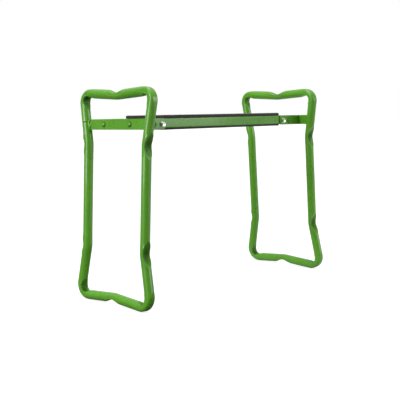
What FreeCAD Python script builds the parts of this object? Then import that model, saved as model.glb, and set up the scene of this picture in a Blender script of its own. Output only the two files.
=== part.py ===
import FreeCAD, Part

# Folding garden kneeler and seat.
# Two round-tube leg loops hang on a padded seat by a hinge bracket each.  Upright, the loops are
# legs below the seat and hand rails above it; upside down, the same object is a kneeler.
# Units are millimetres.  +X runs along the seat, +Y to the back and +Z up.  The origin is the
# middle of the footprint on the ground.  Everything is built for the +X (right) end and mirrored.

import math
import os

from FreeCAD import Vector

# --- overall ---------------------------------------------------------------------------------
OVERALL_HEIGHT = 490.0       # ground to the crest of the hand loops
LEG_PLANE_X = 287.0          # middle of the seat to a leg loop's plane, at the crossbar
SPLAY_DEG = 3.3              # how far each leg loop leans out, going down
CROSSBAR_Z = 408.0           # height of the crossbars' centre line

# --- leg loop: one bent tube, butt-jointed at the back --------------------------------------
TUBE_RADIUS = 11.0
TUBE_WALL = 1.2
WAIST_HALF_DEPTH = 101.4     # centre line of the straight stretch of each side
UPPER_KINK_Z = 363.0         # heights along the loop, where its sides change direction
LOWER_KINK_Z = 126.0
UPPER_FLARE_DEG = 9.5        # how far the sides lean out above the upper kink
LOWER_FLARE_DEG = 11.2       # and below the lower kink
TOP_DIP_DEG = 3.4            # the top bar falls to its middle at this slope
BOTTOM_RISE_DEG = 4.0        # the bottom bar rises to its middle at this slope
TOP_CORNER_RADIUS = 21.0     # bend radii of the centre line
BOTTOM_CORNER_RADIUS = 24.5
KINK_RADIUS = 60.0
MIDDLE_RADIUS = 90.0
SEAM_GAP = 0.4               # open butt joint between the tube's two ends
SEAM_Z = 413.0

# --- crossbar, its welds and the hinge bracket ----------------------------------------------
BAR_HEIGHT = 24.0
CROSSBAR_THICKNESS = 3.0
WELD_RADIUS = 3.4
BRACKET_THICKNESS = 2.5
ARM_FACE_Y = 72.0            # outer face of the bracket's arms
ARM_END_X = 206.0            # inboard end of the arms
ARM_CORNER_RADIUS = 5.0
BRACKET_BEND_RADIUS = 4.0
RIVET_RADIUS = 3.0
RIVET_HEAD_RADIUS = 5.2
RIVET_HEAD_HEIGHT = 2.6
RIVET_Y = 45.0

# --- hinge ------------------------------------------------------------------------------------
PIVOT_X = 215.3
PIVOT_Z = 406.5
BOLT_RADIUS = 3.0
BOLT_CLEARANCE = 0.08        # radial play of the turning arm on its bolt
HEX_ACROSS_FLATS = 10.0
BOLT_HEAD_HEIGHT = 4.0
BOLT_TAIL_Y = 56.5           # inner end of the bolt's thread
NUT_HEIGHT = 5.0
NUT_COLLAR_HEIGHT = 1.6
NUT_COLLAR_RADIUS = 4.3
WASHER_RADIUS = 6.4
WASHER_THICKNESS = 1.2
SPACER_RADIUS = 7.0
FACE_GAP = 0.1               # play between the turning arm and the faces beside it
STOP_PIN_X = 239.8
STOP_PIN_RADIUS = 3.0
STOP_PIN_INNER_Y = 62.5
STOP_PIN_HEAD_RADIUS = 4.6
STOP_PIN_HEAD_HEIGHT = 1.6
STOP_PIN_DIMPLE_RADIUS = 1.7
STOP_PIN_DIMPLE_DEPTH = 2.4
STOP_CLEARANCE = 0.25        # between the stop pin and the notch that it rests in
HINGE_PLATE_THICKNESS = 3.0
HINGE_PLATE_ROOT_X = 160.0   # how far the hinge plate reaches into its rail
HINGE_BOSS_RADIUS = 10.5
HOOK_TIP_X = 246.3
HOOK_TOP_ABOVE_PIVOT = 9.0
HOOK_LIP_BELOW_PIVOT = 1.5

# --- seat -------------------------------------------------------------------------------------
SEAT_MID_Z = 408.9
SEAT_HALF_LENGTH = 205.0
SEAT_HALF_DEPTH = 68.3       # pads, edge to centre
RAIL_FACE_Y = 68.0           # outer face of the long rails
RAIL_WIDTH = 12.0
RAIL_HEIGHT = 22.0
RAIL_WALL = 1.2
RAIL_EDGE_RADIUS = 2.5
PAN_THICKNESS = 1.5
PAD_HALF_STACK = 16.2        # seat's mid height to either pad's face
PAD_CORNER_RADIUS = 6.0
PAD_EDGE_RADIUS = 1.5
PAD_FIT_GAP = 0.3            # between a pad's core and the rails round it

SPLAY = math.radians(SPLAY_DEG)
X_AXIS = Vector(1, 0, 0)
Y_AXIS = Vector(0, 1, 0)
Z_AXIS = Vector(0, 0, 1)


# --- helpers ----------------------------------------------------------------------------------
def box(low, high):
    """Box between two opposite corners, each given as (x, y, z)."""
    size = [b - a for a, b in zip(low, high)]
    return Part.makeBox(size[0], size[1], size[2], Vector(*low))


def cylinder(start, end, radius):
    """Round bar between two points."""
    run = end.sub(start)
    return Part.makeCylinder(radius, run.Length, start, run)


def prism_y(profile, y_low, y_high):
    """Solid with an outline in X and Z, given as (x, z) points, between two Y values."""
    points = [Vector(x, y_low, z) for x, z in profile]
    face = Part.Face(Part.makePolygon(points + points[:1]))
    return face.extrude(Vector(0, y_high - y_low, 0))


def hexagon_y(x, z, y_low, y_high):
    """Hexagonal prism along Y, such as a nut or a bolt's head."""
    corner = HEX_ACROSS_FLATS / math.sqrt(3)
    turns = [math.radians(60 * i) for i in range(6)]
    profile = [(x + corner * math.sin(a), z + corner * math.cos(a)) for a in turns]
    return prism_y(profile, y_low, y_high)


def domed_head(base, direction, radius, height):
    """Spherical cap standing on a face at base, as on a rivet."""
    ball_radius = (radius ** 2 + height ** 2) / (2 * height)
    axis = Vector(direction).normalize()
    ball = Part.makeSphere(ball_radius, base.sub(axis.multiply(ball_radius - height)))
    room = Part.makeCylinder(radius * 1.5, height * 2, base, direction)
    return ball.common(room)


def mirrored_x(shape):
    return shape.mirror(Vector(0, 0, 0), X_AXIS)


def front_and_back(shape):
    """A piece made at +Y with its mirror image at -Y, as one group."""
    return Part.makeCompound([shape, shape.mirror(Vector(0, 0, 0), Y_AXIS)])


def splayed(shape):
    """Leans a shape, made upright in the right leg's plane, out by the splay."""
    leaning = shape.copy()
    leaning.rotate(Vector(LEG_PLANE_X, 0, CROSSBAR_Z), Y_AXIS, -SPLAY_DEG)
    return leaning


def leg_face_x(z, offset):
    """X on the plane that is parallel to the leaning leg loop and offset outward from it."""
    return LEG_PLANE_X + (CROSSBAR_Z - z) * math.tan(SPLAY) + offset / math.cos(SPLAY)


def edges_where(shape, test):
    """The straight edges whose two ends both pass a test on a point."""
    return [e for e in shape.Edges if len(e.Vertexes) == 2 and all(test(v.Point) for v in e.Vertexes)]


# --- leg loop ---------------------------------------------------------------------------------
def corner_vertex(centre_z, radius, kink_z, flare, slope, way):
    """Where a side of the loop would meet its end bar with no bend, and the end bar's middle.

    way is +1 for the top bar and -1 for the bottom bar.  The bend's own centre is at centre_z,
    and both the side and the bar are tangent to it.
    """
    rise = way * (centre_z - kink_z)
    centre_y = WAIST_HALF_DEPTH + rise * math.tan(flare) - radius / math.cos(flare)
    middle_z = centre_z + way * (radius / math.cos(slope) - centre_y * math.tan(slope))
    reach = WAIST_HALF_DEPTH + way * (middle_z - kink_z) * math.tan(flare)
    vertex_y = reach / (1 - math.tan(slope) * math.tan(flare))
    return vertex_y, middle_z + way * vertex_y * math.tan(slope), middle_z


def loop_outline():
    """The loop's corner points in its own plane, with the bend radius at each."""
    lean = math.cos(SPLAY)
    crest = CROSSBAR_Z + (OVERALL_HEIGHT - TUBE_RADIUS - CROSSBAR_Z) / lean
    lowest = CROSSBAR_Z - (CROSSBAR_Z - TUBE_RADIUS) / lean
    top_y, top_z, top_middle = corner_vertex(
        crest - TOP_CORNER_RADIUS, TOP_CORNER_RADIUS, UPPER_KINK_Z,
        math.radians(UPPER_FLARE_DEG), math.radians(TOP_DIP_DEG), 1)
    low_y, low_z, low_middle = corner_vertex(
        lowest + BOTTOM_CORNER_RADIUS, BOTTOM_CORNER_RADIUS, LOWER_KINK_Z,
        math.radians(LOWER_FLARE_DEG), math.radians(BOTTOM_RISE_DEG), -1)
    half = [
        (top_y, top_z, TOP_CORNER_RADIUS),
        (WAIST_HALF_DEPTH, UPPER_KINK_Z, KINK_RADIUS),
        (WAIST_HALF_DEPTH, LOWER_KINK_Z, KINK_RADIUS),
        (low_y, low_z, BOTTOM_CORNER_RADIUS),
    ]
    other_half = [(-y, z, radius) for y, z, radius in reversed(half)]
    return [(0, top_middle, MIDDLE_RADIUS)] + half + [(0, low_middle, MIDDLE_RADIUS)] + other_half


def bent_path(corners, x):
    """Closed run of straight edges and tangent arcs through (y, z, radius) corners."""
    count = len(corners)
    points = [Vector(x, y, z) for y, z, _ in corners]
    bends = []
    for i, (_, _, radius) in enumerate(corners):
        back = points[i - 1].sub(points[i]).normalize()
        ahead = points[(i + 1) % count].sub(points[i]).normalize()
        half_angle = back.getAngle(ahead) / 2
        tangent = radius / math.tan(half_angle)
        middle = back.add(ahead).normalize().multiply(radius / math.sin(half_angle) - radius)
        start = points[i].add(Vector(back).multiply(tangent))
        end = points[i].add(Vector(ahead).multiply(tangent))
        bends.append((start, points[i].add(middle), end))
    edges = []
    for i, (start, middle, end) in enumerate(bends):
        edges.append(Part.Arc(start, middle, end).toShape())
        edges.append(Part.LineSegment(end, bends[(i + 1) % count][0]).toShape())
    return edges


def rod_along(edges, radius):
    """Round bar along straight edges and arcs that join end to end."""
    pieces = []
    for edge in edges:
        start = edge.valueAt(edge.FirstParameter)
        end = edge.valueAt(edge.LastParameter)
        ring = Part.makeCircle(radius, start, edge.tangentAt(edge.FirstParameter))
        disc = Part.Face(Part.Wire(ring))
        if isinstance(edge.Curve, Part.Circle):
            turn = math.degrees(edge.Length / edge.Curve.Radius)
            pieces.append(disc.revolve(edge.Curve.Center, edge.Curve.Axis, turn))
        else:
            pieces.append(disc.extrude(end.sub(start)))
    return pieces[0].multiFuse(pieces[1:]).removeSplitter()


def side_y(path, z):
    """How far from the middle the loop's back side is at a height along it."""
    probe = Part.makeLine(Vector(LEG_PLANE_X, 0, z), Vector(LEG_PLANE_X, 3 * WAIST_HALF_DEPTH, z))
    return probe.distToShape(Part.Compound(path))[1][0][0].y


def leg_tube(path, outer):
    """The loop's tube, open by a hair at the butt joint in its back side."""
    bore = rod_along(path, TUBE_RADIUS - TUBE_WALL)
    reach = 2 * TUBE_RADIUS
    y = side_y(path, SEAM_Z)
    gap = box((LEG_PLANE_X - reach, y - reach, SEAM_Z), (LEG_PLANE_X + reach, y + reach, SEAM_Z + SEAM_GAP))
    return outer.cut(bore).cut(gap)


# --- crossbar, welds and bracket --------------------------------------------------------------
def rivet_cutter(radius):
    """Upright-frame bars at the two bracket rivets, long enough to pass right through."""
    reach = CROSSBAR_THICKNESS + BRACKET_THICKNESS
    bars = [
        cylinder(Vector(LEG_PLANE_X - reach, y, CROSSBAR_Z), Vector(LEG_PLANE_X + reach, y, CROSSBAR_Z), radius)
        for y in (-RIVET_Y, RIVET_Y)
    ]
    return Part.makeCompound(bars)


def crossbar(outer):
    """Flat bar between the loop's two sides, coped to the tube at both ends."""
    half = (CROSSBAR_THICKNESS / 2, WAIST_HALF_DEPTH, BAR_HEIGHT / 2)
    middle = (LEG_PLANE_X, 0, CROSSBAR_Z)
    bar = box([m - h for m, h in zip(middle, half)], [m + h for m, h in zip(middle, half)])
    return bar.cut(outer).cut(rivet_cutter(RIVET_RADIUS))


def crossbar_welds(path, outer, bar):
    """Fillet beads along both faces of the crossbar where it meets the tube."""
    beads = []
    for face in (-1, 1):
        ends = []
        for z in (CROSSBAR_Z - BAR_HEIGHT / 2, CROSSBAR_Z + BAR_HEIGHT / 2):
            y = side_y(path, z) - TUBE_RADIUS
            ends.append(Vector(LEG_PLANE_X + face * CROSSBAR_THICKNESS / 2, y, z))
        beads.append(cylinder(ends[0], ends[1], WELD_RADIUS).cut(outer).cut(bar))
    beads += [bead.mirror(Vector(0, 0, 0), Y_AXIS) for bead in beads]
    solids = [max(bead.Solids, key=lambda solid: solid.Volume) for bead in beads]
    return Part.makeCompound(solids)


def hinge_bracket():
    """U-shaped strap: a back plate on the crossbar and two arms that reach in to the pivots."""
    low = CROSSBAR_Z - BAR_HEIGHT / 2
    high = CROSSBAR_Z + BAR_HEIGHT / 2
    contact = -CROSSBAR_THICKNESS / 2
    back = [
        (leg_face_x(low, contact - BRACKET_THICKNESS), low),
        (leg_face_x(low, contact), low),
        (leg_face_x(high, contact), high),
        (leg_face_x(high, contact - BRACKET_THICKNESS), high),
    ]
    arm = [(ARM_END_X, low), back[1], back[2], (ARM_END_X, high)]
    strap = prism_y(back, -ARM_FACE_Y, ARM_FACE_Y)
    for y in (-ARM_FACE_Y, ARM_FACE_Y - BRACKET_THICKNESS):
        strap = strap.fuse(prism_y(arm, y, y + BRACKET_THICKNESS))
    strap = strap.removeSplitter()
    bends = edges_where(strap, lambda p: abs(p.y) > ARM_FACE_Y - 0.1 and p.x > PIVOT_X + WASHER_RADIUS)
    upright = [e for e in bends if abs(e.Vertexes[0].Z - e.Vertexes[1].Z) > BAR_HEIGHT / 2]
    strap = strap.makeFillet(BRACKET_BEND_RADIUS, upright)
    ends = edges_where(strap, lambda p: p.x < ARM_END_X + 0.1)
    across = [e for e in ends if abs(e.Vertexes[0].Y - e.Vertexes[1].Y) > BRACKET_THICKNESS / 2]
    strap = strap.makeFillet(ARM_CORNER_RADIUS, across)
    for x, z, radius in ((PIVOT_X, PIVOT_Z, BOLT_RADIUS + BOLT_CLEARANCE), (STOP_PIN_X, PIVOT_Z, STOP_PIN_RADIUS)):
        strap = strap.cut(cylinder(Vector(x, -ARM_FACE_Y - 1, z), Vector(x, ARM_FACE_Y + 1, z), radius))
    return strap.cut(splayed(rivet_cutter(RIVET_RADIUS)))


def bracket_rivets():
    """Two solid rivets that hold the bracket to the crossbar, domed on both sides."""
    inner_x = LEG_PLANE_X - CROSSBAR_THICKNESS / 2 - BRACKET_THICKNESS
    outer_x = LEG_PLANE_X + CROSSBAR_THICKNESS / 2
    inner = Vector(inner_x, RIVET_Y, CROSSBAR_Z)
    outer = Vector(outer_x, RIVET_Y, CROSSBAR_Z)
    heads = [
        domed_head(inner, Vector(-1, 0, 0), RIVET_HEAD_RADIUS, RIVET_HEAD_HEIGHT),
        domed_head(outer, X_AXIS, RIVET_HEAD_RADIUS, RIVET_HEAD_HEIGHT),
    ]
    return front_and_back(splayed(cylinder(inner, outer, RIVET_RADIUS).multiFuse(heads).removeSplitter()))


# --- hinge hardware ---------------------------------------------------------------------------
def along_pivot(y_low, y_high, radius):
    """Round bar on the hinge's axis."""
    return cylinder(Vector(PIVOT_X, y_low, PIVOT_Z), Vector(PIVOT_X, y_high, PIVOT_Z), radius)


def ring_on_pivot(y_low, y_high, radius):
    """Washer or spacer that fits the pivot bolt."""
    return along_pivot(y_low, y_high, radius).cut(along_pivot(y_low - 1, y_high + 1, BOLT_RADIUS))


HINGE_PLATE_FACE_Y = RAIL_FACE_Y - RAIL_WALL
WASHER_Y = ARM_FACE_Y + FACE_GAP
BOLT_HEAD_Y = WASHER_Y + WASHER_THICKNESS
NUT_FACE_Y = HINGE_PLATE_FACE_Y - HINGE_PLATE_THICKNESS


def pivot_bolts():
    """Hex bolts, heads outside the arms."""
    head = hexagon_y(PIVOT_X, PIVOT_Z, BOLT_HEAD_Y, BOLT_HEAD_Y + BOLT_HEAD_HEIGHT)
    return front_and_back(head.fuse(along_pivot(BOLT_TAIL_Y, BOLT_HEAD_Y, BOLT_RADIUS)).removeSplitter())


def pivot_washers():
    return front_and_back(ring_on_pivot(WASHER_Y, WASHER_Y + WASHER_THICKNESS, WASHER_RADIUS))


def pivot_spacers():
    """Nylon spacers that keep the turning arms off the hinge plates."""
    arm_inner_y = ARM_FACE_Y - BRACKET_THICKNESS
    return front_and_back(ring_on_pivot(HINGE_PLATE_FACE_Y, arm_inner_y - FACE_GAP, SPACER_RADIUS))


def pivot_nuts():
    """Lock nuts on the inner side of the hinge plates, each with a nylon collar."""
    collar_y = NUT_FACE_Y - NUT_HEIGHT
    nut = hexagon_y(PIVOT_X, PIVOT_Z, collar_y, NUT_FACE_Y)
    nut = nut.fuse(along_pivot(collar_y - NUT_COLLAR_HEIGHT, collar_y, NUT_COLLAR_RADIUS))
    bore = along_pivot(collar_y - NUT_COLLAR_HEIGHT - 1, NUT_FACE_Y + 1, BOLT_RADIUS)
    return front_and_back(nut.removeSplitter().cut(bore))


def stop_pins():
    """Semi-tubular pins in the arms, which come up under the hooks when the leg is open."""
    axis_point = Vector(STOP_PIN_X, 0, PIVOT_Z)
    face = axis_point.add(Vector(0, ARM_FACE_Y, 0))
    pin = cylinder(axis_point.add(Vector(0, STOP_PIN_INNER_Y, 0)), face, STOP_PIN_RADIUS)
    head = cylinder(face, face.add(Vector(0, STOP_PIN_HEAD_HEIGHT, 0)), STOP_PIN_HEAD_RADIUS)
    rim = [e for e in head.Edges if e.BoundBox.YMin > ARM_FACE_Y + STOP_PIN_HEAD_HEIGHT / 2]
    head = head.makeFillet(STOP_PIN_HEAD_HEIGHT / 2, [rim[0]])
    mouth = face.add(Vector(0, STOP_PIN_HEAD_HEIGHT, 0))
    dimple = cylinder(mouth.sub(Vector(0, STOP_PIN_DIMPLE_DEPTH, 0)), mouth, STOP_PIN_DIMPLE_RADIUS)
    return front_and_back(pin.fuse(head).removeSplitter().cut(dimple))


def hinge_plate():
    """Back right plate: fixed in the rail's end, drilled for the pivot and hooked over the stop pin."""
    half_root = RAIL_HEIGHT / 2 - RAIL_WALL
    top = PIVOT_Z + HOOK_TOP_ABOVE_PIVOT
    root = [
        (HINGE_PLATE_ROOT_X, SEAT_MID_Z - half_root),
        (PIVOT_X, SEAT_MID_Z - half_root),
        (PIVOT_X, SEAT_MID_Z + half_root),
        (HINGE_PLATE_ROOT_X, SEAT_MID_Z + half_root),
    ]
    lip = PIVOT_Z - HOOK_LIP_BELOW_PIVOT
    notch_edge = STOP_PIN_X - STOP_PIN_RADIUS - STOP_CLEARANCE
    hook = [
        (PIVOT_X, PIVOT_Z),
        (notch_edge, PIVOT_Z),
        (STOP_PIN_X, lip),
        (HOOK_TIP_X, lip),
        (HOOK_TIP_X, top - ARM_CORNER_RADIUS),
        (HOOK_TIP_X - ARM_CORNER_RADIUS, top),
        (PIVOT_X, top),
    ]
    inner, outer = NUT_FACE_Y, HINGE_PLATE_FACE_Y
    plate = prism_y(root, inner, outer).fuse(prism_y(hook, inner, outer))
    plate = plate.fuse(along_pivot(inner, outer, HINGE_BOSS_RADIUS)).removeSplitter()
    notch_low = Vector(STOP_PIN_X, inner - 1, PIVOT_Z)
    notch_high = Vector(STOP_PIN_X, outer + 1, PIVOT_Z)
    plate = plate.cut(cylinder(notch_low, notch_high, STOP_PIN_RADIUS + STOP_CLEARANCE))
    return plate.cut(along_pivot(inner - 1, outer + 1, BOLT_RADIUS))


# --- seat -------------------------------------------------------------------------------------
def rectangular_tube(low, high, along):
    """Thin-walled tube between two corners, open at both ends along the given axis index."""
    tube = box(low, high)
    long_edges = [
        e for e in tube.Edges
        if abs(e.Vertexes[0].Point[along] - e.Vertexes[1].Point[along]) > RAIL_HEIGHT * 1.5
    ]
    tube = tube.makeFillet(RAIL_EDGE_RADIUS, long_edges)
    inset = [0 if axis == along else RAIL_WALL for axis in range(3)]
    bore = box([a + i for a, i in zip(low, inset)], [b - i for b, i in zip(high, inset)])
    return tube.cut(bore)


def seat_rail():
    """Back long rail of the seat frame."""
    low = (-SEAT_HALF_LENGTH, RAIL_FACE_Y - RAIL_WIDTH, SEAT_MID_Z - RAIL_HEIGHT / 2)
    high = (SEAT_HALF_LENGTH, RAIL_FACE_Y, SEAT_MID_Z + RAIL_HEIGHT / 2)
    return rectangular_tube(low, high, 0)


INNER_HALF_LENGTH = SEAT_HALF_LENGTH - RAIL_WIDTH
INNER_HALF_DEPTH = RAIL_FACE_Y - RAIL_WIDTH


def seat_end_rail():
    """Short rail that closes the right end of the seat frame."""
    low = (INNER_HALF_LENGTH, -INNER_HALF_DEPTH, SEAT_MID_Z - RAIL_HEIGHT / 2)
    high = (SEAT_HALF_LENGTH, INNER_HALF_DEPTH, SEAT_MID_Z + RAIL_HEIGHT / 2)
    return rectangular_tube(low, high, 1)


def seat_pan():
    """Steel sheet at mid height of the frame, which carries both pads."""
    half = (INNER_HALF_LENGTH, INNER_HALF_DEPTH, PAN_THICKNESS / 2)
    return box((-half[0], -half[1], SEAT_MID_Z - half[2]), (half[0], half[1], SEAT_MID_Z + half[2]))


def pad_top():
    """Foam pad: a core that fills the frame down to the pan, and a border that laps the rails."""
    lap_z = SEAT_MID_Z + RAIL_HEIGHT / 2
    face_z = SEAT_MID_Z + PAD_HALF_STACK
    lap = box((-SEAT_HALF_LENGTH, -SEAT_HALF_DEPTH, lap_z), (SEAT_HALF_LENGTH, SEAT_HALF_DEPTH, face_z))
    upright = [e for e in lap.Edges if abs(e.Vertexes[0].Z - e.Vertexes[1].Z) > 1]
    lap = lap.makeFillet(PAD_CORNER_RADIUS, upright)
    rim = [e for e in lap.Edges if e.BoundBox.ZMin > face_z - 0.1]
    lap = lap.makeFillet(PAD_EDGE_RADIUS, rim)
    half_x = INNER_HALF_LENGTH - PAD_FIT_GAP
    half_y = INNER_HALF_DEPTH - PAD_FIT_GAP
    core = box((-half_x, -half_y, SEAT_MID_Z + PAN_THICKNESS / 2), (half_x, half_y, lap_z))
    return lap.fuse(core).removeSplitter()


# --- the whole kneeler ------------------------------------------------------------------------
def both_ends(name, shape):
    """A right-end piece and its mirror image at the left end."""
    return {name + "_right": shape, name + "_left": mirrored_x(shape)}


def build():
    path = bent_path(loop_outline(), LEG_PLANE_X)
    outer = rod_along(path, TUBE_RADIUS)
    bar = crossbar(outer)
    back_plate = hinge_plate()
    front_plate = back_plate.mirror(Vector(0, 0, 0), Y_AXIS)
    back_rail = seat_rail()
    top = pad_top()
    parts = {}
    parts.update(both_ends("leg_tube", splayed(leg_tube(path, outer))))
    parts.update(both_ends("crossbar", splayed(bar)))
    parts.update(both_ends("crossbar_welds", splayed(crossbar_welds(path, outer, bar))))
    parts.update(both_ends("hinge_bracket", hinge_bracket()))
    parts.update(both_ends("bracket_rivets", bracket_rivets()))
    parts.update(both_ends("stop_pins", stop_pins()))
    parts.update(both_ends("pivot_bolts", pivot_bolts()))
    parts.update(both_ends("pivot_washers", pivot_washers()))
    parts.update(both_ends("pivot_spacers", pivot_spacers()))
    parts.update(both_ends("pivot_nuts", pivot_nuts()))
    parts.update(both_ends("hinge_plate_back", back_plate))
    parts.update(both_ends("hinge_plate_front", front_plate))
    parts.update(both_ends("seat_end_rail", seat_end_rail()))
    parts["seat_rail_back"] = back_rail
    parts["seat_rail_front"] = back_rail.mirror(Vector(0, 0, 0), Y_AXIS)
    parts["seat_pan"] = seat_pan()
    parts["pad_top"] = top
    parts["pad_bottom"] = top.mirror(Vector(0, 0, SEAT_MID_Z), Z_AXIS)
    return parts


os.makedirs("parts", exist_ok=True)
for part_name, part_shape in build().items():
    part_shape.exportStep("parts/" + part_name + ".step")
    bounds = part_shape.BoundBox
    print("%-24s solids %d  valid %s  volume %.0f  z %.2f to %.2f" % (
        part_name, len(part_shape.Solids), part_shape.isValid(), part_shape.Volume,
        bounds.ZMin, bounds.ZMax))
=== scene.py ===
import math

import bmesh
import bpy
import numpy as np
from mathutils import Matrix, Vector, noise


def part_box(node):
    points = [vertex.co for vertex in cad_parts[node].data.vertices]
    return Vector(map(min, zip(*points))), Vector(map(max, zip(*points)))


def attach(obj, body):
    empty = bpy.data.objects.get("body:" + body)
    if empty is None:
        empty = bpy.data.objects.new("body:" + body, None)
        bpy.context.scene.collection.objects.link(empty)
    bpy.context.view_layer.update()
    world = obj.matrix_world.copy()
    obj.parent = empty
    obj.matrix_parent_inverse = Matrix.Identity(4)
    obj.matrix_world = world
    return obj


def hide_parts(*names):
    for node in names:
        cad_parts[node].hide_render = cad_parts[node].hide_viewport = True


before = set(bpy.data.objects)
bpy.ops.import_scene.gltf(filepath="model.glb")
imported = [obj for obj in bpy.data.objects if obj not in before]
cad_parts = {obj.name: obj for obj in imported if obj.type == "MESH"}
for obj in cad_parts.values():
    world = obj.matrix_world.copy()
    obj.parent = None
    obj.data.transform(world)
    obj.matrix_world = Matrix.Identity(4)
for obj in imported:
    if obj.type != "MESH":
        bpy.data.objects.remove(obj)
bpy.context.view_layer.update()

# Looks for the folding garden kneeler: crush-bent tube loops, foam pads, weld beads, hex bolts,
# finishes, studio and camera.  Metres, in the CAD's frame: +X along the seat, +Z up.

MM = 0.001
SIDES = {"right": 1, "left": -1}

# --- camera: the photograph's own viewpoint -----------------------------------------------------
CAMERA_PLACE = (-1388.5 * MM, -1342.5 * MM, 427.2 * MM)
CAMERA_YAW = 0.7922
CAMERA_PITCH = 0.1110
CAMERA_ROLL = -0.0189
FOCAL_LENGTHS_PER_FRAME = 769.73 / 400

# --- the leg loop's route, as the CAD source has it ---------------------------------------------
OVERALL_HEIGHT = 490 * MM
LEG_PLANE_X = 287 * MM
SPLAY = math.radians(3.3)
CROSSBAR_Z = 408 * MM
TUBE_RADIUS = 11 * MM
WAIST_HALF_DEPTH = 101.4 * MM
UPPER_KINK_Z = 363 * MM
LOWER_KINK_Z = 126 * MM
UPPER_FLARE = math.radians(9.5)
LOWER_FLARE = math.radians(11.2)
TOP_DIP = math.radians(3.4)
BOTTOM_RISE = math.radians(4.0)
TOP_CORNER_RADIUS = 21 * MM
BOTTOM_CORNER_RADIUS = 24.5 * MM
KINK_RADIUS = 60 * MM
MIDDLE_RADIUS = 90 * MM
SEAM_Z = 413 * MM

# --- crush dents: depth, half length along the tube ---------------------------------------------
CORNER_DENT = (6.4 * MM, 33 * MM)
KINK_DENT = (7.2 * MM, 29 * MM)
MIDDLE_DENT = (8.6 * MM, 30 * MM)
CORNER_OUTER_FLAT = (2.4 * MM, 30 * MM)
DENT_PROFILE_POWER = 1.7
DENT_HOLLOW = 3.4 * MM
DENT_RIM = 0.9 * MM
OUTER_FLAT_RIM = 0.5 * MM
DENT_LIP_HEIGHT = 1.0 * MM
DENT_LIP_WIDTH = 1.5 * MM
DENT_LIP_RISE = 2.5
DENT_REACH = 1.3
# The share of painted shade the middle dents get; they face up and catch light.
MIDDLE_DENT_PAINTED_SHADE = 0.3
CORNER_WRINKLE = 0.55 * MM
CORNER_WRINKLE_PITCH = 7 * MM
DENT_SPREAD = 0.04
DENT_TUCK = 0.035
RING_POINTS = 84
FINE_STEP = 1.1 * MM
COARSE_STEP = 5 * MM
SEAM_DEPTH = 1.0 * MM
SEAM_HALF_WIDTH = 0.8 * MM
SEAM_STOPS = (-2.2, -1.4, -1.0, -0.7, -0.35, 0, 0.35, 0.7, 1.0, 1.4, 2.2)

# --- weld beads ---------------------------------------------------------------------------------
BEAD_HALF_LENGTH = 12.6 * MM
BEAD_RADIUS = 3.6 * MM
BEAD_RIPPLE_HEIGHT = 0.5 * MM
BEAD_RIPPLES = 8.5
BEAD_ZIGZAG = 1.7 * MM
BEAD_ZIGZAGS = 1.8
BEAD_ROWS = 40
BEAD_RING_POINTS = 14
BEAD_LEAST_RADIUS = 0.15 * MM
BEAD_SINK = 0.3 * MM
BEAD_SKEW = 0.8 * MM
BEAD_SQUASH = 0.95

# --- hinge hardware, as the CAD source has it ---------------------------------------------------
PIVOT_X = 215.3 * MM
PIVOT_Z = 406.5 * MM
BOLT_RADIUS = 3 * MM
HEX_ACROSS_FLATS = 10 * MM
HEX_POINTS = 72
BOLT_HEAD_Y = 73.3 * MM
BOLT_HEAD_HEIGHT = 4 * MM
BOLT_TAIL_Y = 56.5 * MM
NUT_FACE_Y = 63.8 * MM
NUT_HEIGHT = 5 * MM
NUT_COLLAR_RADIUS = 4.3 * MM
NUT_COLLAR_ROWS = ((0, 0), (0.9, 0), (1.4, 0.25), (1.6, 0.7))
NUT_MOUTH_DROP = 1.3 * MM
AXIS_RADIUS = 0.02 * MM
UNCUT = 1.0
WASHER_FACE_RADIUS = 4.6 * MM
WASHER_FACE_HEIGHT = 0.3 * MM
HEAD_DISH_DEPTH = 0.25 * MM
HEAD_DISH_RADII = (3.0 * MM, 3.6 * MM)
TIP_CHAMFER = (0.6 * MM, 0.5 * MM)
CHAMFER_START = 0.93
CHAMFER_DROPS = (0.12, 0.25, 0.4, 0.55, 0.75)
CHAMFER_SLOPE = math.tan(math.radians(60))
HARDWARE_SHARP_DEGREES = 28

# --- rivets and stop pins: rows of height or y and radius in mm, and how much painted shade -----
CROSSBAR_HALF = 1.5 * MM
BRACKET_THICKNESS = 2.5 * MM
RIVET_Y = 45 * MM
# The rows at the head's foot carry full painted shade, a dark ring where the head meets the
# crossbar.
RIVET_HEAD = (
    (3.3, 0.02, 0), (3.2, 1.5, 0), (2.8, 3.0, 0), (2.0, 4.3, 0.1), (1.2, 4.9, 0.5), (0.5, 5.0, 1),
    (0.35, 5.3, 1), (0.25, 6.2, 1), (0, 6.7, 1), (0, 3.0, 0),
)
STOP_PIN_X = 239.8 * MM
# Painted shade fills the punched middle and the ring round the head's foot.
STOP_PIN_ROWS = (
    (71.6, 0.02, 1), (71.6, 1.3, 1), (72.4, 1.9, 1), (73.6, 2.3, 0.3), (73.9, 2.8, 0),
    (73.7, 3.5, 0), (73.1, 4.1, 0.1), (72.5, 4.5, 0.9), (72.3, 5.0, 1), (72.2, 6.0, 1),
    (72.0, 6.6, 1), (72.0, 3.0, 0), (62.9, 3.0, 0), (62.5, 2.6, 0), (62.5, 0.02, 0),
)

# --- colours and light (linear) -----------------------------------------------------------------
COAT_DEEP = (0.105, 0.37, 0.018)
COAT_LIGHT = (0.135, 0.43, 0.027)
# Painted shade: the dark green the coat turns to deep in dents, in the seam groove, round rivet
# feet and in the pins' punched middles.
COAT_PAINTED_SHADE = (0.040, 0.135, 0.012)
COAT_GLOSS = 0.5
COAT_SPECULAR = 0.4
FOAM_DEEP = (0.014, 0.0115, 0.009)
FOAM_LIGHT = (0.026, 0.0215, 0.017)
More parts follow.
